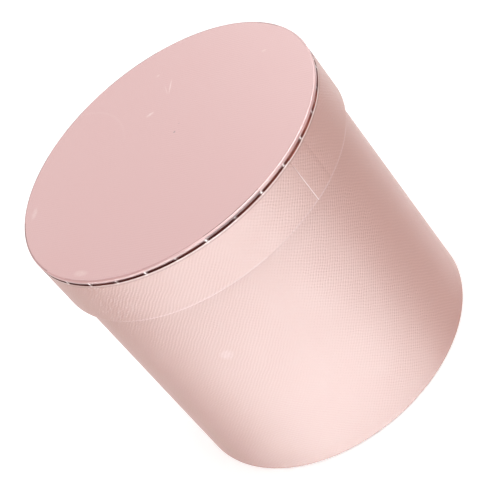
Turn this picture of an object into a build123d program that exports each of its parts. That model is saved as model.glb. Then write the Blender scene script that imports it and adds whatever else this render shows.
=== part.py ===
"""Round two-piece hat box: a board tube with a bottom, and a shallow lid that lifts off.

Origin at the middle of the underside, +Z up through the lid. Angles run anticlockwise from +X,
seen from above. A glue line keeps each piece off the next, and the lid has running room all round.
"""

import os
from math import degrees

from build123d import *

# Driving dimensions, in mm and degrees
lid_diameter = 190.0
box_height = 180.0
lid_height = 34.5
base_diameter = 182.8

board = 2.0
top_board = 2.5
wrap_paper = 0.2
liner_paper = 0.25
cover_paper = 0.25
tape_paper = 0.15
glue_line = 0.05
resting_gap = 0.3

rolled_edge = 0.8
folded_edge = 0.5
tab_length = 15.0
lid_hem = 9.0
base_hem = 15.0
liner_setback = 3.0
cover_setback = 7.0
tape_width = 30.0
butt_gap = 0.3

tab_count = 32
notch_depth = 1.2
notch_half_width = 2.2
lap_width = 14.0

lid_lap_angle = -62.5
base_lap_angle = 95.0
notch_angle = -87.5
rim_joint_angle = 150.0
wall_joint_angle = 60.0

# Heights, worked out from the underside up and from the lid's top down
skin = wrap_paper + glue_line
tab_floor = cover_paper + glue_line
wall_floor = tab_floor + skin
bottom_top = wall_floor + board
disc_floor = box_height - top_board - 2 * skin
plug_top = disc_floor - glue_line
plug_floor = plug_top - board
lid_ceiling = plug_floor - glue_line - liner_paper
base_top = lid_ceiling - resting_gap
wall_top = base_top - skin
lid_floor = box_height - lid_height
rim_floor = lid_floor + skin
rim_top = plug_top - skin

# Radii, worked out from the outside in
lid_radius = lid_diameter / 2
disc_radius = lid_radius - skin
rim_outer = lid_radius - skin
rim_inner = rim_outer - board
plug_radius = rim_inner - skin - glue_line
base_radius = base_diameter / 2
wall_outer = base_radius - skin
wall_inner = wall_outer - board
base_liner_radius = wall_inner - skin - glue_line


def add_turned(outline, radii):
    """Turns a closed outline of (radius, height) corners about the axis, each corner rounded."""
    with BuildSketch(Plane.XZ) as section:
        with BuildLine():
            FilletPolyline(*outline, radius=radii, close=True)
        make_face()
    revolve(section.sketch, axis=Axis.Z)


def add_folded_paper(path, radii):
    """Turns a folded strip of wrapping paper about the axis: path is the strip's outer face."""
    with BuildSketch(Plane.XZ) as section:
        with BuildLine() as strip:
            FilletPolyline(*path, radius=radii)
            offset(strip.line, amount=wrap_paper, side=Side.LEFT)
        make_face()
    revolve(section.sketch, axis=Axis.Z)


def add_band(inner, outer, low, high, start_angle=0.0, arc=360.0):
    """Adds a band about the axis, or the part of one that starts at an angle."""
    with BuildSketch(Plane.XZ.rotated((0, 0, start_angle))) as section:
        with BuildLine():
            Polyline((inner, low), (outer, low), (outer, high), (inner, high), close=True)
        make_face()
    revolve(section.sketch, axis=Axis.Z, revolution_arc=arc)


def add_disc(radius, low, thickness):
    """Adds a flat round sheet or board that stands at a height."""
    with BuildSketch(Plane.XY.offset(low)) as face:
        Circle(radius)
    extrude(face.sketch, amount=thickness)


def cut_notches(fold_radius, low):
    """Cuts the V notches that part the turned-under tabs of a wrapping paper."""
    root = fold_radius - notch_depth
    end = fold_radius - tab_length - notch_depth
    with BuildSketch(Plane.XY.offset(low - glue_line)) as notches:
        with PolarLocations(0, tab_count, start_angle=notch_angle):
            Polygon((root, 0), (end, notch_half_width), (end, -notch_half_width), align=None)
    extrude(notches.sketch, amount=wrap_paper + 2 * glue_line, mode=Mode.SUBTRACT)


def cut_butt_joint(inner, low, high, angle):
    """Parts a board tube where the two ends of its strip meet."""
    with BuildSketch(Plane.XY.offset(low)) as joint:
        with PolarLocations(inner + board / 2, 1, start_angle=angle):
            Rectangle(2 * board, butt_gap)
    extrude(joint.sketch, amount=high - low, mode=Mode.SUBTRACT)


def add_joint_tape(outer, low, high, joint_angle):
    """Adds the gummed tape that holds a butt joint, on the inside of a tube."""
    arc = degrees(tape_width / outer)
    add_band(outer - tape_paper, outer, low, high, joint_angle - arc / 2, arc)


def add_lap(radius, low, high, start_angle):
    """Adds the second layer of paper where the two ends of a side paper overlap."""
    arc = degrees(lap_width / radius)
    add_band(radius - wrap_paper / 2, radius + wrap_paper, low, high, start_angle, arc)


# Base: rolled board tube, its outer and upper edges broken where the paper folds over them
with BuildPart() as base_wall_board:
    add_turned(
        [
            (wall_inner, wall_floor),
            (wall_outer, wall_floor),
            (wall_outer, wall_top),
            (wall_inner, wall_top),
        ],
        [0, folded_edge - skin, folded_edge - skin, folded_edge - skin],
    )
    cut_butt_joint(wall_inner, wall_floor, wall_top, wall_joint_angle)
base_wall_board.part.label = "base_wall_board"

# Base: tape over the tube's butt joint, from the bottom board up to the hem of the side paper
with BuildPart() as base_wall_tape:
    add_joint_tape(
        wall_inner - glue_line,
        bottom_top + glue_line,
        base_top - base_hem - glue_line,
        wall_joint_angle,
    )
base_wall_tape.part.label = "base_wall_tape"

# Base: embossed side paper, with tabs under the bottom and a hem over the rim
with BuildPart() as base_wrap:
    add_folded_paper(
        [
            (base_radius - tab_length, tab_floor),
            (base_radius, tab_floor),
            (base_radius, base_top),
            (wall_inner - skin, base_top),
            (wall_inner - skin, base_top - base_hem),
        ],
        [folded_edge, folded_edge, folded_edge],
    )
    add_lap(base_radius, tab_floor + folded_edge, base_top - folded_edge, base_lap_angle)
    cut_notches(base_radius, tab_floor)
base_wrap.part.label = "base_wrap"

# Base: board disc set inside the foot of the tube
with BuildPart() as base_bottom_board:
    add_disc(wall_inner - glue_line, wall_floor, board)
base_bottom_board.part.label = "base_bottom_board"

# Base: cover paper over the turned-under tabs, which the box stands on
with BuildPart() as base_bottom_paper:
    add_disc(base_radius - cover_setback, 0, cover_paper)
base_bottom_paper.part.label = "base_bottom_paper"

# Base: white lining round the inside of the wall, over the foot of the hem
with BuildPart() as base_liner_band:
    add_band(
        base_liner_radius - liner_paper,
        base_liner_radius,
        bottom_top + glue_line,
        base_top - liner_setback,
    )
base_liner_band.part.label = "base_liner_band"

# Base: white lining on the floor
with BuildPart() as base_liner_disc:
    add_disc(
        base_liner_radius - liner_paper - glue_line,
        bottom_top + glue_line,
        liner_paper,
    )
base_liner_disc.part.label = "base_liner_disc"

# Lid: board disc of the top, with the rounded edge that the foil is rolled over
with BuildPart() as lid_top_board:
    add_disc(disc_radius, disc_floor + skin, top_board)
    fillet(lid_top_board.edges(), rolled_edge - skin)
lid_top_board.part.label = "lid_top_board"

# Lid: smooth foil paper over the top, rolled over the edge and turned under in tabs
with BuildPart() as lid_top_foil:
    add_folded_paper(
        [
            (lid_radius - tab_length, disc_floor),
            (lid_radius, disc_floor),
            (lid_radius, box_height),
            (0, box_height),
        ],
        [rolled_edge, rolled_edge],
    )
    cut_notches(lid_radius, disc_floor)
lid_top_foil.part.label = "lid_top_foil"

# Lid: rolled board ring of the side, its upper outer edge rounded beside the top's edge
with BuildPart() as lid_rim_board:
    add_turned(
        [
            (rim_inner, rim_floor),
            (rim_outer, rim_floor),
            (rim_outer, rim_top),
            (rim_inner, rim_top),
        ],
        [
            folded_edge - skin,
            folded_edge - skin,
            rolled_edge - skin,
            folded_edge - skin,
        ],
    )
    cut_butt_joint(rim_inner, rim_floor, rim_top, rim_joint_angle)
lid_rim_board.part.label = "lid_rim_board"

# Lid: tape over the ring's butt joint, between the two hems of the side paper
with BuildPart() as lid_rim_tape:
    add_joint_tape(
        rim_inner - glue_line,
        lid_floor + lid_hem + glue_line,
        plug_top - lid_hem - glue_line,
        rim_joint_angle,
    )
lid_rim_tape.part.label = "lid_rim_tape"

# Lid: embossed side paper, hemmed over both edges of the ring
with BuildPart() as lid_rim_wrap:
    add_folded_paper(
        [
            (rim_inner - skin, lid_floor + lid_hem),
            (rim_inner - skin, lid_floor),
            (lid_radius, lid_floor),
            (lid_radius, plug_top),
            (rim_inner - skin, plug_top),
            (rim_inner - skin, plug_top - lid_hem),
        ],
        [folded_edge, folded_edge, rolled_edge, folded_edge],
    )
    add_lap(lid_radius, lid_floor + folded_edge, plug_top - rolled_edge, lid_lap_angle)
lid_rim_wrap.part.label = "lid_rim_wrap"

# Lid: board disc glued under the top, which fits inside the ring and holds it
with BuildPart() as lid_plug_board:
    add_disc(plug_radius, plug_floor, board)
lid_plug_board.part.label = "lid_plug_board"

# Lid: white lining under the plug disc
with BuildPart() as lid_liner_disc:
    add_disc(plug_radius - liner_paper - glue_line, lid_ceiling, liner_paper)
lid_liner_disc.part.label = "lid_liner_disc"

# Lid: white lining round the inside of the ring
with BuildPart() as lid_liner_band:
    add_band(
        plug_radius - liner_paper,
        plug_radius,
        lid_floor + liner_setback,
        plug_floor - glue_line,
    )
lid_liner_band.part.label = "lid_liner_band"

pieces = [
    base_wall_board,
    base_wall_tape,
    base_wrap,
    base_bottom_board,
    base_bottom_paper,
    base_liner_band,
    base_liner_disc,
    lid_top_board,
    lid_top_foil,
    lid_rim_board,
    lid_rim_tape,
    lid_rim_wrap,
    lid_plug_board,
    lid_liner_disc,
    lid_liner_band,
]
os.makedirs("parts", exist_ok=True)
for piece in pieces:
    export_step(piece.part, f"parts/{piece.part.label}.step")
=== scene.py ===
"""Looks of a round two-piece hat box: smooth foil top, embossed pearl paper sides, white lining.

The papers that show are modelled here as real sheets, folded over the boards of the frame.
Everything is in metres, in the frame's own place: origin under the box's middle, +Z up.
"""

import math
import random

import bmesh
import bpy
from bpy.props import (
    FloatProperty,
    FloatVectorProperty,
    IntProperty,
    PointerProperty,
)
from bpy.types import Operator, Panel, PropertyGroup
from mathutils import Matrix, Quaternion, Vector


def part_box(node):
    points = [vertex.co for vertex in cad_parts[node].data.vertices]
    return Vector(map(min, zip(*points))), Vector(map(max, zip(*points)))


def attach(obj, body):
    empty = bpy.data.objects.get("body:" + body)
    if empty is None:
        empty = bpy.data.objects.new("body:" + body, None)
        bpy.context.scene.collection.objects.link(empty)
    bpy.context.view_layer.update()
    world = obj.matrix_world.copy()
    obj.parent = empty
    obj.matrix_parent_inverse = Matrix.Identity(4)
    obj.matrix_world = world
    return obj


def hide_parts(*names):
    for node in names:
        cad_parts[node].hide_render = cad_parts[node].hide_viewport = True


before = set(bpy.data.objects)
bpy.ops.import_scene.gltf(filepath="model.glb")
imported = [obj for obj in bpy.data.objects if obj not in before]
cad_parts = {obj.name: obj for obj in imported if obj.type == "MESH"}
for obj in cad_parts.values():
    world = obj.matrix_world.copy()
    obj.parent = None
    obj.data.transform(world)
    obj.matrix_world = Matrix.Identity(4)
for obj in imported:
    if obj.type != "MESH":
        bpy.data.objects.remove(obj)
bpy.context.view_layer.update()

bl_info = {
    "name": "Hat Box Looks",
    "version": (1, 0, 0),
    "blender": (4, 5, 0),
    "location": "3D View > Sidebar > Hat Box",
    "description": "Models and finishes the papers of a round hat box, and sets its stage",
    "category": "Object",
}

MM = 0.001
TAU = 2 * math.pi


def linear(hex_colour):
    """Turns an sRGB hex colour into linear red, green and blue."""
    channels = [int(hex_colour[i : i + 2], 16) / 255 for i in (1, 3, 5)]
    return [c / 12.92 if c <= 0.04045 else ((c + 0.055) / 1.055) ** 2.4 for c in channels]


# Places that come from the frame
foil_low, foil_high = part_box("lid_top_foil")
rim_low, rim_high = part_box("lid_rim_wrap")
base_low, base_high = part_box("base_wrap")
LID_RADIUS = foil_high.x
BASE_RADIUS = base_high.x
BOX_HEIGHT = foil_high.z
GROOVE_HEIGHT = (foil_low.z + rim_high.z) / 2

# How finely the sheets are made
TAB_STEPS = 16
SIDE_STEPS = 480
ROLL_SEGMENTS = 8
FOLD_SEGMENTS = 5
TOP_RINGS = (0.97, 0.8, 0.5, 0.2)
SHARP_ANGLE = math.radians(40)
SAME_PLACE = 0.001 * MM
FLAT_NORMAL = 0.7

# The lap's upper layer ramps up over the lower one, and its far end sinks just under it
LAP_RAMP = 1.6 * MM
LAP_SINK = 0.25
EDGE_SLACK = math.radians(1)
GLUE_LINE = 0.05 * MM

# The foil is notched into tabs under the lid's top, and stands out in a pleat at each notch.
# Its columns of faces gather at the notches, where the shape changes most
NOTCH_DEPTH = 1.2 * MM
NOTCH_TAPER = 0.28
GATHER = 0.8
PLEAT_LEAST = 0.3
PLEAT_WIDTH = 0.6 * MM
PLEAT_DROP = 0.5 * MM
PLEAT_HEIGHT = 1.6 * MM
PLEAT_DEPTH = 2 * MM
SAG = 0.35 * MM

# Marks along the lid's edge, placed by how far they are from the groove, an edge or a fold. Most
# of them are painted shade and painted highlights
EDGE_LAYERS = ("groove", "shade_and_specks", "groove_light", "wear_and_highlight")
EDGE_DEPTH = 3 * MM
# Painted shade in the groove is fully dark within GROOVE_DARK of a point just above its middle,
# and gone by GROOVE_REACH
GROOVE_RISE = 0.3 * MM
GROOVE_DARK = 0.85 * MM
GROOVE_REACH = 1.1 * MM
PLEAT_REACH = 1.8 * MM
# A painted highlight line lies this far below the groove, on the side paper's rolled top; the
# reach below serves it and the painted shade down the foil's edge
HIGHLIGHT_LINE_DROP = 1.0 * MM
EDGE_MARK_REACH = 0.5 * MM
# Painted shade lines: one just inside the top of the foil's roll, and one on the side paper over
# the rim board's edge
TOP_LINE = 0.8 * MM
TOP_LINE_REACH = 0.45 * MM
BOARD_LINE = 2.1 * MM
BOARD_LINE_REACH = 0.45 * MM
BOARD_LINE_SHARE = 0.4

# Each tab draws its own share of every mark. A search picked these seeds out of many, so that the
# front tabs get the shares that were wanted for them; another seed moves the marks to other tabs
PLEAT_SEED = 185380
EDGE_SHADE_SEED = 13114971
GROOVE_LIGHT_SEED = 164791
SAG_AND_HIGHLIGHT_SEED = 161588

# The lap's free edge is rubbed white; along the skirt's bottom fold a painted highlight is drawn
# in the same pale colour
LAP_WHITE = 0.55
LAP_LINE = 0.35 * MM
LAP_FADE = 9 * MM
FOLD_HIGHLIGHT = 0.14
FOLD_REACH = 0.7 * MM

# Mica in the film bends light more than the film alone
PEARL_IOR = 2.1
SHEEN_LEVEL = 0.5
# Where shade is painted along the lid's edge, the sheen drops to this level, so the painted shade
# stays dark
DULL_LEVEL = 0.02

# Relief of the papers; a noise of the size given makes the threads wander sideways
EMBOSS_DEPTH = 0.06 * MM
TOP_EMBOSS_DEPTH = 0.02 * MM
THREAD_WANDER = 2.2 * MM
THREAD_WANDER_SIZE = 8 * MM
RIPPLE_DEPTH = 0.007 * MM
FIBRE_DEPTH = 0.004 * MM
TOOTH_DEPTH = 0.02 * MM

# Place along X and Y, length and width in millimetres, turn in degrees, and strength
TOP_SCUFFS = (
    (24, 47, 15, 1.1, 58, 0.24),
    (21, 47, 12, 0.9, 78, 0.12),
    (23, 66, 3, 2, 0, 0.14),
    (5, 37, 6.5, 3, -8, 0.22),
    (-81, 34, 12, 4.5, 58, 0.12),
    (-77, -46, 13, 5, -55, 0.12),
    (76, 11, 4, 2, -34, 0.1),
)
TOP_SPECKS = ((9, 5, 2, 1.6, 20, 0.8), (14, 9, 1.4, 1, 0, 0.4))
TOP_MARK_DEPTH = 4 * MM
SIDE_SCUFFS = ((-46, -79, 13, 9, 30, 0.05),)
SIDE_SCUFF_HEIGHT = 102 * MM
SIDE_MARK_DEPTH = 9 * MM

# A faint arc on the lid: place along X and Y, radius and width in millimetres, and strength.
# It fades out towards the front, between two places along Y
TOP_RING = (-58, 54, 47, 1.1, 0.035)
TOP_RING_FADE = (28 * MM, 62 * MM)

# The table is opal acrylic, lit from below. Its lamps have an azimuth from the camera's side in
# degrees and a power in watts, and a least-squares program worked out these six powers
FLOOR_HALF = 6.0
TABLE_GLOW = 0.25
TABLE_LAMPS = ((-90, 6.5), (-60, 12), (-30, 13.5), (0, 14.4), (30, 12.3), (60, 3.6))
TABLE_LAMP_ELEVATION = -36
TABLE_LAMP_DISTANCE = 1.6
TABLE_LAMP_SIZE = (1.1, 1.4)
# The hung lamps also have an elevation in degrees, and a width and height in metres. The powers of
# those at 158, 120 and 150 degrees are the same program's, and the others were set one by one
HUNG_LAMPS = (
    (158, -32, (1.4, 1.4), 2.9),
    (-20, 62, (0.9, 0.9), 16),
    (30, 60, (0.9, 0.9), 24),
    (80, 50, (0.9, 0.9), 22),
    (120, 36, (0.9, 0.9), 9.4),
    (150, 36, (0.9, 0.9), 2.7),
    (180, 36, (0.9, 0.9), 2.6),
)
HUNG_LAMP_DISTANCE = 1.4
SENSOR_WIDTH = 36


class HatBoxSizes(PropertyGroup):
    """Sizes of the papers, their folds and their emboss."""

    paper: FloatProperty(
        name="Paper",
        description="Thickness of the covering papers",
        default=0.2 * MM,
        unit="LENGTH",
    )
    rolled_edge: FloatProperty(
        name="Rolled edge",
        description="Radius of the lid's edges beside the groove",
        default=0.8 * MM,
        unit="LENGTH",
    )
    folded_edge: FloatProperty(
        name="Folded edge",
        description="Radius of the fold over a board's cut edge",
        default=0.5 * MM,
        unit="LENGTH",
    )
    tab_length: FloatProperty(
        name="Tab length",
        description="How far a paper is turned under a flat board",
        default=15 * MM,
        unit="LENGTH",
    )
    tab_count: IntProperty(
        name="Tabs",
        description="Tabs that the foil is notched into under the lid's top",
        default=32,
        min=8,
    )
    notch_angle: FloatProperty(
        name="First notch",
        description="Angle of a notch between two tabs, from +X",
        default=math.radians(-87.5),
        subtype="ANGLE",
    )
    lap_width: FloatProperty(
        name="Lap",
        description="Width of the overlap where a side paper's ends meet",
        default=14 * MM,
        unit="LENGTH",
    )
    lid_lap_angle: FloatProperty(
        name="Lid lap",
        description="Angle of the free edge of the lid's side paper, from +X",
        default=math.radians(-62.5),
        subtype="ANGLE",
    )
    base_lap_angle: FloatProperty(
        name="Base lap",
        description="Angle of the free edge of the base's side paper, from +X",
        default=math.radians(95),
        subtype="ANGLE",
    )
    lid_hem: FloatProperty(
        name="Lid hem",
        description="How far the side paper is turned into the lid",
        default=9 * MM,
        unit="LENGTH",
    )
    base_hem: FloatProperty(
        name="Base hem",
        description="How far the side paper is turned into the base",
        default=15 * MM,
        unit="LENGTH",
    )
    thread_pitch: FloatProperty(
        name="Thread pitch",
        description="Spacing of the canvas threads embossed in the side papers",
        default=1.22 * MM,
        unit="LENGTH",
    )


class HatBoxColours(PropertyGroup):
    """Colours of the papers and boards, and the painted shade and highlights of the lid's edge."""

    side_paper: FloatVectorProperty(
        name="Side paper",
        description="Pigment of the embossed side papers",
        default=linear("#9D5F4F"),
        subtype="COLOR",
        min=0,
        max=1,
    )
    top_foil: FloatVectorProperty(
        name="Top foil",
        description="Pigment of the smooth paper on the lid's top",
        default=linear("#B87E7B"),
        subtype="COLOR",
        min=0,
        max=1,
    )
    # Painted shade and a dark reflection for the lid's groove, put into the foil's colour
    groove: FloatVectorProperty(
        name="Groove",
        description="Crazed foil at the bottom of the lid's groove",
        default=linear("#380B0B"),
        subtype="COLOR",
        min=0,
        max=1,
    )
    # Painted light: a lighter red for the groove, on the tabs where the lamps reach into it
    groove_light: FloatVectorProperty(
        name="Groove_light",
        description="Foil rubbed through in the groove",
        default=linear("#9C5346"),
        subtype="COLOR",
        min=0,
        max=1,
    )
    # Painted shade down the foil's edge and over the rim board's edge, and the real dark specks on
    # the lid's top
    shade_and_specks: FloatVectorProperty(
        name="Shade_and_specks",
        description="Foil stretched over the edge of the lid's top",
        default=linear("#4A3532"),
        subtype="COLOR",
        min=0,
        max=1,
    )
    # Real rubbed wear and the lap's white edge, pale specks at the pleats, and painted highlights
    # on the side paper's rolled top and bottom fold
    wear_and_highlight: FloatVectorProperty(
        name="Wear_and_highlight",
        description="Whitened film on the creased edge of the side paper",
        default=linear("#F8EAE6"),
        subtype="COLOR",
        min=0,
        max=1,
    )
    lining: FloatVectorProperty(
        name="Lining",
        description="White lining and cover paper",
        default=linear("#F4F3F1"),
        subtype="COLOR",
        min=0,
        max=1,
    )
    board: FloatVectorProperty(
        name="Board",
        description="Greyboard",
        default=linear("#8C857A"),
        subtype="COLOR",
        min=0,
        max=1,
    )
    tape: FloatVectorProperty(
        name="Tape",
        description="Gummed kraft tape",
        default=linear("#B08A5E"),
        subtype="COLOR",
        min=0,
        max=1,
    )


class HatBoxStage(PropertyGroup):
    """Camera and light."""

    elevation: FloatProperty(
        name="Elevation",
        description="How far the camera looks down",
        default=math.radians(35.0),
        subtype="ANGLE",
    )
    roll: FloatProperty(
        name="Roll",
        description="Turn of the camera about its own line of sight",
        default=math.radians(-39.66),
        subtype="ANGLE",
    )
    lens: FloatProperty(
        name="Lens",
        description="Focal length in millimetres",
        default=125.1,
    )
    distance: FloatProperty(
        name="Distance",
        description="From the camera to the point on the box's axis that it looks at",
        default=1.0045,
        unit="LENGTH",
    )
    aim_height: FloatProperty(
        name="Aim height",
        description="Height of the point that the camera looks at",
        default=89.9 * MM,
        unit="LENGTH",
    )
    aim_side: FloatProperty(
        name="Aim side",
        description="How far to the side of the box's axis the camera looks",
        default=-0.4 * MM,
        unit="LENGTH",
    )
    daylight: FloatProperty(
        name="Soft light",
        description="Strength of the even white light all round",
        default=1.06,
        min=0,
    )


# Materials -------------------------------------------------------------------------------------


def add_node(tree, kind, settings=None, links=None):
    """Adds a node: settings name its sockets or its own options, links name its sockets."""
    node = tree.nodes.new(kind)
    for name, value in (settings or {}).items():
        if isinstance(name, int) or name in node.inputs:
            node.inputs[name].default_value = value
        else:
            setattr(node, name, value)
    for name, source in (links or {}).items():
        tree.links.new(source, node.inputs[name])
    return node


def new_material(name):
    """Makes an empty node material with its output, and returns it with its tree and output."""
    material = bpy.data.materials.new(name)
    material.use_nodes = True
    tree = material.node_tree
    tree.nodes.clear()
    output = add_node(tree, "ShaderNodeOutputMaterial")
    return material, tree, output


def noise(tree, place, size, detail, roughness, output="Fac"):
    """Adds a noise whose blotches are about the given size."""
    texture = add_node(
        tree,
        "ShaderNodeTexNoise",
        {"Scale": 1 / size, "Detail": detail, "Roughness": roughness},
        {"Vector": place},
    )
    return texture.outputs[output]


def canvas_relief(tree, place):
    """Height of a plain-woven canvas over the X and Y of a place in metres, from -1 to 1.

    Its threads wander a little, as in real cloth.
    """
    wander = noise(tree, place, THREAD_WANDER_SIZE, 2.0, 0.6, "Color")
    wandered = add_node(
        tree,
        "ShaderNodeVectorMath",
        {"operation": "MULTIPLY_ADD", 1: (THREAD_WANDER,) * 3},
        {0: wander, 2: place},
    )
    across = add_node(tree, "ShaderNodeSeparateXYZ", links={0: wandered.outputs["Vector"]})
    pitch = bpy.context.scene.hat_box_sizes.thread_pitch
    threads = []
    for axis in ("X", "Y"):
        turns = add_node(
            tree,
            "ShaderNodeMath",
            {"operation": "MULTIPLY", 1: math.pi / pitch},
            {0: across.outputs[axis]},
        )
        thread = add_node(tree, "ShaderNodeMath", {"operation": "SINE"}, {0: turns.outputs[0]})
        threads.append(thread.outputs[0])
    weave = add_node(
        tree, "ShaderNodeMath", {"operation": "MULTIPLY"}, {0: threads[0], 1: threads[1]}
    )
    return weave.outputs[0]


def spread(tree, share, low, high):
    """Maps a noise onto the range from low to high."""
    mapped = add_node(
        tree,
        "ShaderNodeMapRange",
        {"From Min": 0.3, "From Max": 0.7, "To Min": low, "To Max": high},
        {"Value": share},
    )
    return mapped.outputs["Result"]


def bump(tree, height, depth, under=None, strength=1.0):
    """Adds relief of a given depth, over another relief if there is one."""
    links = {"Height": height}
    if under:
        links["Normal"] = under
    relief = add_node(tree, "ShaderNodeBump", {"Strength": strength, "Distance": depth}, links)
    return relief.outputs["Normal"]


def blend(tree, share, under, over):
    """Blends one colour over another by a share; each is a plain colour or a node's socket."""
    settings = {"data_type": "RGBA"}
    links = {0: share}
    for slot, colour in ((6, under), (7, over)):
        if isinstance(colour, bpy.types.NodeSocket):
            links[slot] = colour
        else:
            settings[slot] = (*colour, 1)
    return add_node(tree, "ShaderNodeMix", settings, links).outputs[2]


def clouded(tree, share, colour, low, high):
    """Lets a colour vary between two multiples of itself."""
    return blend(tree, share, [c * low for c in colour], [min(1, c * high) for c in colour])


def scuffs(tree, place, marks, height, depth):
    """Adds rubbed spots, ragged at their edges, which all have one height and one depth."""
    ragged = spread(tree, noise(tree, place, 1.5 * MM, 3.0, 0.7), 0.4, 1.5)
    total = None
    for x, y, length, width, turn, strength in marks:
        local = add_node(
            tree,
            "ShaderNodeMapping",
            {
                "vector_type": "TEXTURE",
                "Location": (x * MM, y * MM, height),
                "Rotation": (0, 0, math.radians(turn)),
                "Scale": (length / 2 * MM, width / 2 * MM, depth / 2),
            },
            {"Vector": place},
        )
        away = add_node(
            tree, "ShaderNodeVectorMath", {"operation": "LENGTH"}, {0: local.outputs["Vector"]}
        )
        spot = add_node(
            tree,
            "ShaderNodeMapRange",
            {
                "interpolation_type": "SMOOTHSTEP",
                "From Min": 0.3,
                "From Max": 1.1,
                "To Min": strength,
                "To Max": 0.0,
            },
            {"Value": away.outputs["Value"]},
        )
        if total is None:
            total = spot.outputs["Result"]
        else:
            total = add_node(
                tree,
                "ShaderNodeMath",
                {"operation": "MAXIMUM"},
                {0: total, 1: spot.outputs["Result"]},
            ).outputs[0]
    rubbed = add_node(
        tree,
        "ShaderNodeMath",
        {"operation": "MULTIPLY", "use_clamp": True},
        {0: total, 1: ragged},
    )
    return rubbed.outputs[0]


def ring_scuff(tree, place):
    """Adds the faint arc where something round stood on the lid."""
    x, y, radius, width, strength = TOP_RING
    flat = add_node(
        tree, "ShaderNodeVectorMath", {"operation": "MULTIPLY", 1: (1, 1, 0)}, {0: place}
    )
    reach = add_node(
        tree,
        "ShaderNodeVectorMath",
        {"operation": "DISTANCE", 1: (x * MM, y * MM, 0)},
        {0: flat.outputs["Vector"]},
    )
    off = add_node(
        tree,
        "ShaderNodeMath",
        {"operation": "SUBTRACT", 1: radius * MM},
        {0: reach.outputs["Value"]},
    )
    aside = add_node(tree, "ShaderNodeMath", {"operation": "ABSOLUTE"}, {0: off.outputs[0]})
    along = add_node(tree, "ShaderNodeSeparateXYZ", links={0: place})
    faded = add_node(
        tree,
        "ShaderNodeMapRange",
        {1: TOP_RING_FADE[0], 2: TOP_RING_FADE[1], 3: 0.0, 4: strength},
        {0: along.outputs["Y"]},
    )
    line = add_node(
        tree,
        "ShaderNodeMapRange",
        {"interpolation_type": "SMOOTHSTEP", 1: 0.0, 2: width * MM, 4: 0.0},
        {0: aside.outputs[0], 3: faded.outputs[0]},
    )
    return line.outputs[0]


def edge_share(tree, layer):
    """Reads how strongly a mark of the lid's edge shows at a point of the paper."""
    return add_node(tree, "ShaderNodeAttribute", {"attribute_name": layer}).outputs["Fac"]


def edge_marks(tree, pigment):
    """Colours the marks along the lid's edge; returns the colour and the level of the sheen.

    The groove is painted dark red as shade and a dark reflection, and lighter on some tabs as
    painted light where the lamps reach in. Grey shade is painted down the foil's edge, along the
    top of its roll and on the side paper over the board's edge. The pale colour marks the lap's
    rubbed edge and the pleats, and paints highlights on the side paper's rolled top and bottom
    fold. The sheen is dulled where shade is painted.
    """
    colours = bpy.context.scene.hat_box_colours
    groove = edge_share(tree, "groove")
    shade_and_specks = edge_share(tree, "shade_and_specks")
    deep = blend(tree, edge_share(tree, "groove_light"), colours.groove, colours.groove_light)
    colour = blend(tree, edge_share(tree, "wear_and_highlight"), pigment, colours.wear_and_highlight)
    colour = blend(tree, shade_and_specks, colour, colours.shade_and_specks)
    colour = blend(tree, groove, colour, deep)
    dull = add_node(tree, "ShaderNodeMath", {"operation": "MAXIMUM"}, {0: groove, 1: shade_and_specks})
    level = add_node(
        tree,
        "ShaderNodeMath",
        {"operation": "MULTIPLY_ADD", 1: DULL_LEVEL - SHEEN_LEVEL, 2: SHEEN_LEVEL},
        {0: dull.outputs[0]},
    )
    return colour, level.outputs[0]


def paper_shader(tree, output, colour, level, gloss, normal):
    """Joins up the printed and laminated paper's shader."""
    shader = add_node(
        tree,
        "ShaderNodeBsdfPrincipled",
        {"IOR": PEARL_IOR},
        {"Base Color": colour, "Specular IOR Level": level, "Roughness": gloss, "Normal": normal},
    )
    tree.links.new(shader.outputs[0], output.inputs["Surface"])


def embossed_pearl_paper():
    """Rose-gold pearl paper, printed, matt laminated and roller embossed with a fine canvas.

    Mica flakes under the film give a broad, soft, whitish sheen; the canvas breaks it up.
    """
    colours = bpy.context.scene.hat_box_colours
    material, tree, output = new_material("embossed_pearl_paper")
    sheet = add_node(tree, "ShaderNodeUVMap", {"uv_map": "sheet"}).outputs["UV"]
    place = add_node(tree, "ShaderNodeTexCoord").outputs["Object"]
    # The roller's pressure varies over a few centimetres, the canvas itself over a few threads
    pressure = noise(tree, place, 24 * MM, 2.0, 0.5)
    uneven = noise(tree, place, 2.4 * MM, 1.0, 0.5)
    relief = canvas_relief(tree, sheet)
    for share in (spread(tree, pressure, 0.75, 1.0), spread(tree, uneven, 0.5, 1.2)):
        relief = add_node(
            tree, "ShaderNodeMath", {"operation": "MULTIPLY"}, {0: relief, 1: share}
        ).outputs[0]
    emboss = bump(tree, relief, EMBOSS_DEPTH)
    surface = bump(tree, noise(tree, place, 0.9 * MM, 3.0, 0.6), FIBRE_DEPTH, emboss)
    cloud = noise(tree, place, 40 * MM, 3.0, 0.55)
    colour = clouded(tree, cloud, colours.side_paper, 0.985, 1.015)
    rubbed = scuffs(tree, place, SIDE_SCUFFS, SIDE_SCUFF_HEIGHT, SIDE_MARK_DEPTH)
    colour = blend(tree, rubbed, colour, colours.wear_and_highlight)
    # The lid's edge gets its painted shade, painted light and pale marks
    colour, level = edge_marks(tree, colour)
    paper_shader(tree, output, colour, level, spread(tree, pressure, 0.385, 0.415), surface)
    return material


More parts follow.
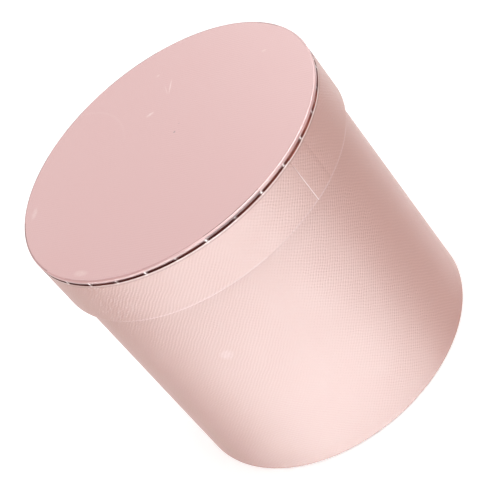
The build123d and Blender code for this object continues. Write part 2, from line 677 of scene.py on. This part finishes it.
def smooth_foil_paper():
    """Rose-gold metallised art paper with a satin film, faintly embossed and lightly scuffed."""
    colours = bpy.context.scene.hat_box_colours
    material, tree, output = new_material("smooth_foil_paper")
    place = add_node(tree, "ShaderNodeTexCoord").outputs["Object"]
    lay = bump(tree, noise(tree, place, 7 * MM, 2.0, 0.5), RIPPLE_DEPTH)
    emboss = bump(tree, canvas_relief(tree, place), TOP_EMBOSS_DEPTH, lay)
    surface = bump(tree, noise(tree, place, 0.8 * MM, 2.0, 0.6), FIBRE_DEPTH, emboss)
    cloud = noise(tree, place, 55 * MM, 4.0, 0.6)
    colour = clouded(tree, cloud, colours.top_foil, 0.985, 1.015)
    rubbed = scuffs(tree, place, TOP_SCUFFS, BOX_HEIGHT, TOP_MARK_DEPTH)
    specks = scuffs(tree, place, TOP_SPECKS, BOX_HEIGHT, TOP_MARK_DEPTH)
    colour = blend(tree, rubbed, colour, colours.wear_and_highlight)
    colour = blend(tree, ring_scuff(tree, place), colour, colours.wear_and_highlight)
    colour = blend(tree, specks, colour, colours.shade_and_specks)
    # The lid's edge gets its painted shade, painted light and pale marks
    colour, level = edge_marks(tree, colour)
    paper_shader(tree, output, colour, level, spread(tree, cloud, 0.33, 0.37), surface)
    return material


def plain_paper(name, colour, fibre_size, roughness):
    """Uncoated paper or board: matt, with a fibre fleck in its tone and a faint tooth.

    The flecks are drawn coarser than real fibres, which would be too fine to show.
    """
    material, tree, output = new_material(name)
    place = add_node(tree, "ShaderNodeTexCoord").outputs["Object"]
    fibres = noise(tree, place, fibre_size, 5.0, 0.7)
    shader = add_node(
        tree,
        "ShaderNodeBsdfPrincipled",
        {"Roughness": roughness},
        {
            "Base Color": clouded(tree, fibres, colour, 0.86, 1.08),
            "Normal": bump(tree, fibres, TOOTH_DEPTH, strength=0.6),
        },
    )
    tree.links.new(shader.outputs[0], output.inputs["Surface"])
    return material


def finish_nodes(names, material):
    """Gives CAD pieces that keep their own shape a better material."""
    for name in names:
        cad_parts[name].data.materials.clear()
        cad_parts[name].data.materials.append(material)


# Sheets of paper -------------------------------------------------------------------------------


def spin_strip(path, start_angle, sweep, steps, closed):
    """Spins a chain of (radius, height) corners about the box's axis into a sheet."""
    sheet = bmesh.new()
    start = Matrix.Rotation(start_angle, 4, "Z")
    chain = [sheet.verts.new(start @ Vector((radius, 0, height))) for radius, height in path]
    edges = [sheet.edges.new(pair) for pair in zip(chain, chain[1:])]
    bmesh.ops.spin(
        sheet,
        geom=chain + edges,
        cent=(0, 0, 0),
        axis=(0, 0, 1),
        angle=sweep,
        steps=steps,
        use_merge=closed,
    )
    bmesh.ops.remove_doubles(sheet, verts=sheet.verts[:], dist=SAME_PLACE / 10)
    return sheet


def radius_of(point):
    """Distance of a point from the box's axis."""
    return math.hypot(point.x, point.y)


def round_folds(sheet, folds, segments):
    """Rounds the folds that run round the box through (radius, height) corners."""
    for (radius, height), fold in folds:
        along = [
            edge
            for edge in sheet.edges
            if all(
                abs(radius_of(vert.co) - radius) < SAME_PLACE
                and abs(vert.co.z - height) < SAME_PLACE
                for vert in edge.verts
            )
        ]
        bmesh.ops.bevel(
            sheet,
            geom=along,
            offset=fold,
            offset_type="OFFSET",
            affect="EDGES",
            segments=segments,
            profile=0.5,
            material=-1,
        )


def turn_from(point, angle):
    """Turn about the box's axis from an angle to a point, between half a turn each way."""
    return (math.atan2(point.y, point.x) - angle + math.pi) % TAU - math.pi


def unwrap_sheet(sheet):
    """Lays a sheet out in metres in its UV map, round the box and along its height."""
    layer = sheet.loops.layers.uv.new("sheet")
    for face in sheet.faces:
        middle = face.calc_center_median()
        facing = math.atan2(middle.y, middle.x)
        flat = abs(face.normal.z) > FLAT_NORMAL
        for loop in face.loops:
            point = loop.vert.co
            turn = turn_from(point, facing)
            along = radius_of(point) if flat else point.z
            loop[layer].uv = ((facing + turn) * LID_RADIUS, along)


def thicken(sheet, thickness):
    """Gives a sheet its thickness, inwards from its outer face."""
    bmesh.ops.recalc_face_normals(sheet, faces=sheet.faces[:])
    bmesh.ops.solidify(sheet, geom=sheet.faces[:], thickness=thickness)


def sheet_object(sheet, name, material, body, node):
    """Makes a finished sheet the object that stands for one CAD piece."""
    unwrap_sheet(sheet)
    for face in sheet.faces:
        face.smooth = True
    for edge in sheet.edges:
        edge.smooth = edge.calc_face_angle(0) < SHARP_ANGLE
    mesh = bpy.data.meshes.new(name)
    sheet.to_mesh(mesh)
    sheet.free()
    mesh.materials.append(material)
    piece = bpy.data.objects.new(name, mesh)
    bpy.context.scene.collection.objects.link(piece)
    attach(piece, body)
    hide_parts(node)


def lay_lap(sheet, radius, free_edge, lift):
    """Lays the sheet's free end over its start: a second layer that ramps up from the first."""
    sizes = bpy.context.scene.hat_box_sizes
    ramp = LAP_RAMP / radius
    width = sizes.lap_width / radius
    inner = radius - sizes.folded_edge

    def past_edge(point):
        return (math.atan2(point.y, point.x) - free_edge) % TAU

    under = [
        face
        for face in sheet.faces
        if past_edge(face.calc_center_median()) < width + ramp
        and radius_of(face.calc_center_median()) > inner
    ]
    over = bmesh.ops.duplicate(sheet, geom=under)["geom"]
    corners = [item for item in over if isinstance(item, bmesh.types.BMVert)]
    moves = []
    for vert in corners:
        past = (past_edge(vert.co) + EDGE_SLACK) % TAU - EDGE_SLACK
        rise = min(1, max(0, (width + ramp - past) / ramp))
        moves.append(vert.normal * (lift * (rise - LAP_SINK * (1 - rise))))
    for vert, move in zip(corners, moves):
        vert.co += move


def notch_tabs(sheet, middle):
    """Tapers the turned-under tab of one sector of the foil, which leaves V notches between."""
    sizes = bpy.context.scene.hat_box_sizes
    root = LID_RADIUS - NOTCH_DEPTH
    length = sizes.tab_length - NOTCH_DEPTH
    for vert in sheet.verts:
        radius = radius_of(vert.co)
        if vert.co.z > foil_low.z + sizes.paper or radius > root:
            continue
        along = (root - radius) / length
        turn = -turn_from(vert.co, middle) * NOTCH_TAPER * along
        vert.co = Matrix.Rotation(turn, 3, "Z") @ vert.co


def ease(value, low, high):
    """Rises smoothly from 0 at low to 1 at high."""
    share = min(1, max(0, (value - low) / (high - low)))
    return share * share * (3 - 2 * share)


def near(value, centre, reach):
    """Falls smoothly from 1 at the centre to 0 at the reach."""
    return 1 - ease(abs(value - centre), 0, reach)


def draw_shares(seed, low=0.0, high=1.0):
    """Draws one share for each tab or notch."""
    draw = random.Random(seed)
    return [draw.uniform(low, high) for _ in range(bpy.context.scene.hat_box_sizes.tab_count)]


def tab_place(point):
    """Finds a point's tab, how far along it lies, its nearest notch and the distance to that."""
    sizes = bpy.context.scene.hat_box_sizes
    pitch = TAU / sizes.tab_count
    turns = (math.atan2(point.y, point.x) - sizes.notch_angle) / pitch
    tab, nearest = math.floor(turns), round(turns)
    away = (turns - nearest) * pitch * LID_RADIUS
    return tab % sizes.tab_count, turns - tab, nearest % sizes.tab_count, away


def pleat_shape(away):
    """How far a pleat still stands out beside its notch, from 1 at the notch to 0."""
    return math.exp(-((away / PLEAT_WIDTH) ** 2))


def tab_bow(along):
    """Rises from 0 at a tab's two notches to 1 at its middle."""
    return 1 - (2 * along - 1) ** 2


def gather_columns(sheet):
    """Moves a sector's columns of faces towards the notches at its two ends."""
    sizes = bpy.context.scene.hat_box_sizes
    sector = TAU / sizes.tab_count
    for vert in sheet.verts:
        _, along, _, _ = tab_place(vert.co)
        turn = -GATHER * math.sin(TAU * along) / TAU * sector
        vert.co = Matrix.Rotation(turn, 3, "Z") @ vert.co


def mark_edge(sheet, on_foil):
    """Stores how strongly each mark of the lid's edge shows at each corner of the sheet."""
    layers = [sheet.verts.layers.float.new(name) for name in EDGE_LAYERS]
    pleats = draw_shares(PLEAT_SEED, PLEAT_LEAST)
    edge_shade_shares = draw_shares(EDGE_SHADE_SEED)
    groove_light_shares = draw_shares(GROOVE_LIGHT_SEED)
    highlight_shares = draw_shares(SAG_AND_HIGHLIGHT_SEED)
    middle = (foil_low.z + foil_high.z) / 2
    for vert in sheet.verts:
        if radius_of(vert.co) < LID_RADIUS - EDGE_DEPTH:
            continue
        tab, along, notch, away = tab_place(vert.co)
        above = vert.co.z - GROOVE_HEIGHT
        pleat = pleats[notch] * pleat_shape(away)
        # Painted shade: the groove is darkened, except where a pleat stands out of it
        groove = (1 - ease(abs(above - GROOVE_RISE), GROOVE_DARK, GROOVE_REACH)) * (1 - pleat)
        # The pleats are painted pale across the groove
        wear_and_highlight = pleat * (1 - ease(abs(above), GROOVE_DARK, PLEAT_REACH))
        if on_foil:
            # Painted shade and a dark reflection down the middle of the foil's edge, and a painted
            # shade line along the top of its roll
            shade_and_specks = near(vert.co.z, middle, EDGE_MARK_REACH)
            if vert.co.z >= middle:
                radius = radius_of(vert.co)
                shade_and_specks = max(shade_and_specks, near(radius, LID_RADIUS - TOP_LINE, TOP_LINE_REACH))
            shade_and_specks *= edge_shade_shares[tab]
        else:
            # Painted shade: a grey line on the side paper where the rim board's edge lies under it
            shade_and_specks = BOARD_LINE_SHARE * near(above, -BOARD_LINE, BOARD_LINE_REACH)
            # Painted highlights along the side paper's bottom fold and along its rolled top below
            # the groove; the lap's free edge is really rubbed white
            fold = FOLD_HIGHLIGHT * near(vert.co.z, rim_low.z + FOLD_REACH / 2, FOLD_REACH)
            crease = max(near(above, -HIGHLIGHT_LINE_DROP, EDGE_MARK_REACH), fold)
            wear_and_highlight = max(wear_and_highlight, highlight_shares[tab] * crease, lap_white(vert.co))
        # Painted light: the groove is lighter towards the middle of some tabs, where the lamps
        # reach in
        groove_light = groove_light_shares[tab] * tab_bow(along)
        for layer, share in zip(layers, (groove, shade_and_specks, groove_light, wear_and_highlight)):
            vert[layer] = share


def narrow_lap(sheet):
    """Draws the columns beside the lap's free edge close to it, so that the edge marks thinly."""
    free_edge = bpy.context.scene.hat_box_sizes.lid_lap_angle
    step = TAU / SIDE_STEPS
    for vert in sheet.verts:
        turn = math.atan2(vert.co.y, vert.co.x) - free_edge
        if 0.5 * step < abs(turn) < 1.5 * step:
            drawn = math.copysign(LAP_LINE / LID_RADIUS, turn)
            vert.co = Matrix.Rotation(drawn - turn, 3, "Z") @ vert.co


def lap_white(point):
    """How white the lid's side paper is rubbed along the free edge of its lap."""
    sizes = bpy.context.scene.hat_box_sizes
    turn = abs(math.atan2(point.y, point.x) - sizes.lid_lap_angle)
    if turn * LID_RADIUS > LAP_LINE / 2:
        return 0
    return LAP_WHITE * (1 - ease(point.z, rim_high.z - LAP_FADE, rim_high.z - LAP_FADE / 2))


def pleat_foil(sheet):
    """Lets the foil stand out in a small pleat at each notch, across the groove."""
    pleats = draw_shares(PLEAT_SEED, PLEAT_LEAST)
    for vert in sheet.verts:
        radius = radius_of(vert.co)
        reach = min(1, max(0, (foil_low.z + PLEAT_HEIGHT - vert.co.z) / PLEAT_HEIGHT))
        if radius < LID_RADIUS - PLEAT_DEPTH or reach == 0:
            continue
        _, _, notch, away = tab_place(vert.co)
        pleat = pleats[notch] * pleat_shape(away)
        outward = Vector((vert.co.x, vert.co.y, 0)) / radius
        vert.co += outward * pleat * (LID_RADIUS - radius)
        vert.co.z -= PLEAT_DROP * pleat * reach


def sag_rim(sheet):
    """Lets the side paper's top edge sag between the notches of the foil."""
    sags = draw_shares(SAG_AND_HIGHLIGHT_SEED)
    for vert in sheet.verts:
        reach = min(1, max(0, (vert.co.z - GROOVE_HEIGHT + PLEAT_HEIGHT) / PLEAT_HEIGHT))
        if radius_of(vert.co) < LID_RADIUS - EDGE_DEPTH or reach == 0:
            continue
        tab, along, _, _ = tab_place(vert.co)
        vert.co.z -= SAG * sags[tab] * tab_bow(along) * reach


class HATBOX_OT_lid_foil(Operator):
    """Rolls the smooth foil paper over the lid's top board and turns it under in tabs"""

    bl_idname = "hatbox.lid_foil"
    bl_label = "Lid foil"

    def execute(self, context):
        sizes = context.scene.hat_box_sizes
        sector = TAU / sizes.tab_count
        low, high = foil_low.z, foil_high.z
        rings = [
            (LID_RADIUS - sizes.tab_length, low),
            (LID_RADIUS - sizes.tab_length / 2, low),
            (LID_RADIUS - NOTCH_DEPTH, low),
            (LID_RADIUS, low),
            (LID_RADIUS, (low + high) / 2),
            (LID_RADIUS, high),
            (LID_RADIUS - TOP_LINE - TOP_LINE_REACH, high),
            *((LID_RADIUS * share, high) for share in TOP_RINGS),
            (0, high),
        ]
        sheet = spin_strip(rings, sizes.notch_angle, sector, TAB_STEPS, closed=False)
        folds = [((LID_RADIUS, low), sizes.rolled_edge), ((LID_RADIUS, high), sizes.rolled_edge)]
        round_folds(sheet, folds, ROLL_SEGMENTS)
        gather_columns(sheet)
        notch_tabs(sheet, sizes.notch_angle + sector / 2)
        bmesh.ops.spin(
            sheet,
            geom=sheet.verts[:] + sheet.edges[:] + sheet.faces[:],
            cent=(0, 0, 0),
            axis=(0, 0, 1),
            angle=TAU - sector,
            steps=sizes.tab_count - 1,
            use_duplicate=True,
        )
        bmesh.ops.remove_doubles(sheet, verts=sheet.verts[:], dist=SAME_PLACE)
        mark_edge(sheet, on_foil=True)
        pleat_foil(sheet)
        thicken(sheet, sizes.paper)
        sheet_object(sheet, "lid_foil", smooth_foil_paper(), "lid", "lid_top_foil")
        return {"FINISHED"}


class HATBOX_OT_side_papers(Operator):
    """Wraps the embossed side papers round the lid's ring and the base's tube"""

    bl_idname = "hatbox.side_papers"
    bl_label = "Side papers"

    def execute(self, context):
        sizes = context.scene.hat_box_sizes
        material = embossed_pearl_paper()
        self.wrap_lid(sizes, material)
        self.wrap_base(sizes, material)
        return {"FINISHED"}

    def wrap_lid(self, sizes, material):
        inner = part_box("lid_plug_board")[1].x + GLUE_LINE
        low, high = rim_low.z, rim_high.z
        rings = [
            (inner, low + sizes.lid_hem),
            (inner, low),
            (LID_RADIUS, low),
            (LID_RADIUS, low + 2 * FOLD_REACH),
            (LID_RADIUS, (low + high) / 2),
            (LID_RADIUS, high - BOARD_LINE - BOARD_LINE_REACH),
            (LID_RADIUS, high - BOARD_LINE),
            (LID_RADIUS, high - PLEAT_HEIGHT),
            (LID_RADIUS, high),
            (inner, high),
            (inner, high - sizes.lid_hem),
        ]
        sheet = spin_strip(rings, sizes.lid_lap_angle, TAU, SIDE_STEPS, closed=True)
        folds = [
            ((inner, low), sizes.folded_edge),
            ((LID_RADIUS, low), sizes.folded_edge),
            ((LID_RADIUS, high), sizes.rolled_edge),
            ((inner, high), sizes.folded_edge),
        ]
        round_folds(sheet, folds, ROLL_SEGMENTS)
        bmesh.ops.recalc_face_normals(sheet, faces=sheet.faces[:])
        narrow_lap(sheet)
        lay_lap(sheet, LID_RADIUS, sizes.lid_lap_angle, sizes.paper)
        mark_edge(sheet, on_foil=False)
        sag_rim(sheet)
        thicken(sheet, sizes.paper)
        sheet_object(sheet, "lid_side_paper", material, "lid", "lid_rim_wrap")

    def wrap_base(self, sizes, material):
        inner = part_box("base_liner_band")[1].x + GLUE_LINE
        low, high = base_low.z, base_high.z
        rings = [
            (BASE_RADIUS - sizes.tab_length, low),
            (BASE_RADIUS, low),
            (BASE_RADIUS, (low + high) / 2),
            (BASE_RADIUS, high),
            (inner, high),
            (inner, high - sizes.base_hem),
        ]
        sheet = spin_strip(rings, sizes.base_lap_angle, TAU, SIDE_STEPS, closed=True)
        folds = [
            ((BASE_RADIUS, low), sizes.folded_edge),
            ((BASE_RADIUS, high), sizes.folded_edge),
            ((inner, high), sizes.folded_edge),
        ]
        round_folds(sheet, folds, FOLD_SEGMENTS)
        bmesh.ops.recalc_face_normals(sheet, faces=sheet.faces[:])
        lay_lap(sheet, BASE_RADIUS, sizes.base_lap_angle, sizes.paper)
        thicken(sheet, sizes.paper)
        sheet_object(sheet, "base_side_paper", material, "base", "base_wrap")


class HATBOX_OT_boards(Operator):
    """Finishes the greyboard and the gummed tape inside the covering papers"""

    bl_idname = "hatbox.boards"
    bl_label = "Boards and tape"

    def execute(self, context):
        colours = context.scene.hat_box_colours
        board = plain_paper("pulped_greyboard", colours.board, 1.5 * MM, 0.9)
        tape = plain_paper("gummed_kraft_tape", colours.tape, 2.5 * MM, 0.7)
        finish_nodes(
            [
                "base_wall_board",
                "base_bottom_board",
                "lid_top_board",
                "lid_rim_board",
                "lid_plug_board",
            ],
            board,
        )
        finish_nodes(["base_wall_tape", "lid_rim_tape"], tape)
        return {"FINISHED"}


class HATBOX_OT_linings(Operator):
    """Finishes the white linings of the base and lid, and the paper under the bottom"""

    bl_idname = "hatbox.linings"
    bl_label = "Linings"

    def execute(self, context):
        colours = context.scene.hat_box_colours
        lining = plain_paper("uncoated_white_lining", colours.lining, 1.2 * MM, 0.8)
        finish_nodes(
            [
                "base_liner_band",
                "base_liner_disc",
                "base_bottom_paper",
                "lid_liner_disc",
                "lid_liner_band",
            ],
            lining,
        )
        return {"FINISHED"}


# Stage -----------------------------------------------------------------------------------------


def studio_light(name, azimuth, elevation, distance, size, power):
    """Hangs a large soft light for the papers' sheen, aimed at the box; azimuth 0 is the camera's.

    A light under the table shines up through it, because the opal table casts no shadow.
    """
    data = bpy.data.lights.new(name, "AREA")
    data.shape = "RECTANGLE"
    data.size, data.size_y = size
    data.energy = power
    light = bpy.data.objects.new(name, data)
    bpy.context.scene.collection.objects.link(light)
    aim = Vector((0, 0, BOX_HEIGHT / 2))
    turn, rise = math.radians(azimuth), math.radians(elevation)
    towards = Vector(
        (
            math.sin(turn) * math.cos(rise),
            -math.cos(turn) * math.cos(rise),
            math.sin(rise),
        )
    )
    light.location = aim + towards * distance
    light.rotation_euler = towards.to_track_quat("Z", "Y").to_euler()
    light.visible_camera = False
    light.visible_diffuse = False
    data.cycles.use_multiple_importance_sampling = elevation > 0


class HATBOX_OT_stage(Operator):
    """Lays the pale floor, hangs the soft lights and sets up the camera"""

    bl_idname = "hatbox.stage"
    bl_label = "Stage"

    def execute(self, context):
        stage = context.scene.hat_box_stage
        self.lay_floor()
        self.light_room(stage)
        self.place_camera(context.scene, stage)
        return {"FINISHED"}

    def lay_floor(self):
        sheet = bmesh.new()
        bmesh.ops.create_grid(sheet, x_segments=1, y_segments=1, size=FLOOR_HALF)
        mesh = bpy.data.meshes.new("studio_floor")
        sheet.to_mesh(mesh)
        sheet.free()
        floor = bpy.data.objects.new("studio_floor", mesh)
        bpy.context.scene.collection.objects.link(floor)
        # Opal acrylic, matt and lit through from below, gives an even white under the box
        material, tree, output = new_material("opal_table")
        shader = add_node(
            tree,
            "ShaderNodeBsdfPrincipled",
            {
                "Base Color": (*linear("#FAFAFA"), 1),
                "Roughness": 1.0,
                "Specular IOR Level": 0.0,
                "Emission Color": (1, 1, 1, 1),
                "Emission Strength": TABLE_GLOW,
            },
        )
        tree.links.new(shader.outputs[0], output.inputs["Surface"])
        mesh.materials.append(material)
        floor.visible_shadow = False

    def light_room(self, stage):
        world = bpy.data.worlds.new("studio_air")
        world.use_nodes = True
        background = world.node_tree.nodes["Background"]
        background.inputs["Color"].default_value = (1, 1, 1, 1)
        background.inputs["Strength"].default_value = stage.daylight
        bpy.context.scene.world = world
        bpy.context.scene.view_settings.view_transform = "Standard"
        world.cycles.sampling_method = "NONE"
        for azimuth, power in TABLE_LAMPS:
            studio_light(
                f"table_lamp_{azimuth}",
                azimuth,
                TABLE_LAMP_ELEVATION,
                TABLE_LAMP_DISTANCE,
                TABLE_LAMP_SIZE,
                power,
            )
        for azimuth, elevation, size, power in HUNG_LAMPS:
            studio_light(
                f"hung_lamp_{azimuth}", azimuth, elevation, HUNG_LAMP_DISTANCE, size, power
            )

    def place_camera(self, scene, stage):
        data = bpy.data.cameras.new("camera")
        data.sensor_width = SENSOR_WIDTH
        data.lens = stage.lens
        camera = bpy.data.objects.new("camera", data)
        scene.collection.objects.link(camera)
        back = Vector((0, -math.cos(stage.elevation), math.sin(stage.elevation)))
        camera.location = Vector((stage.aim_side, 0, stage.aim_height)) + back * stage.distance
        level = (-back).to_track_quat("-Z", "Y")
        camera.rotation_mode = "QUATERNION"
        camera.rotation_quaternion = level @ Quaternion((0, 0, 1), stage.roll)
        scene.camera = camera


class HATBOX_PT_panel(Panel):
    """Lists the steps that model and finish the hat box"""

    bl_idname = "HATBOX_PT_panel"
    bl_label = "Hat Box"
    bl_space_type = "VIEW_3D"
    bl_region_type = "UI"
    bl_category = "Hat Box"

    def draw(self, context):
        for step in STEPS:
            self.layout.operator(step.bl_idname)


GROUPS = (HatBoxSizes, HatBoxColours, HatBoxStage)
STEPS = (
    HATBOX_OT_lid_foil,
    HATBOX_OT_side_papers,
    HATBOX_OT_boards,
    HATBOX_OT_linings,
    HATBOX_OT_stage,
)


def register():
    """Adds the settings, the steps and the panel to Blender."""
    for cls in (*GROUPS, *STEPS, HATBOX_PT_panel):
        bpy.utils.register_class(cls)
    bpy.types.Scene.hat_box_sizes = PointerProperty(type=HatBoxSizes)
    bpy.types.Scene.hat_box_colours = PointerProperty(type=HatBoxColours)
    bpy.types.Scene.hat_box_stage = PointerProperty(type=HatBoxStage)


def unregister():
    """Takes them out again."""
    del bpy.types.Scene.hat_box_stage
    del bpy.types.Scene.hat_box_colours
    del bpy.types.Scene.hat_box_sizes
    for cls in reversed((*GROUPS, *STEPS, HATBOX_PT_panel)):
        bpy.utils.unregister_class(cls)


def main():
    """Runs every step in order."""
    register()
    bpy.ops.hatbox.lid_foil()
    bpy.ops.hatbox.side_papers()
    bpy.ops.hatbox.boards()
    bpy.ops.hatbox.linings()
    bpy.ops.hatbox.stage()


if __name__ == "__main__":
    main()
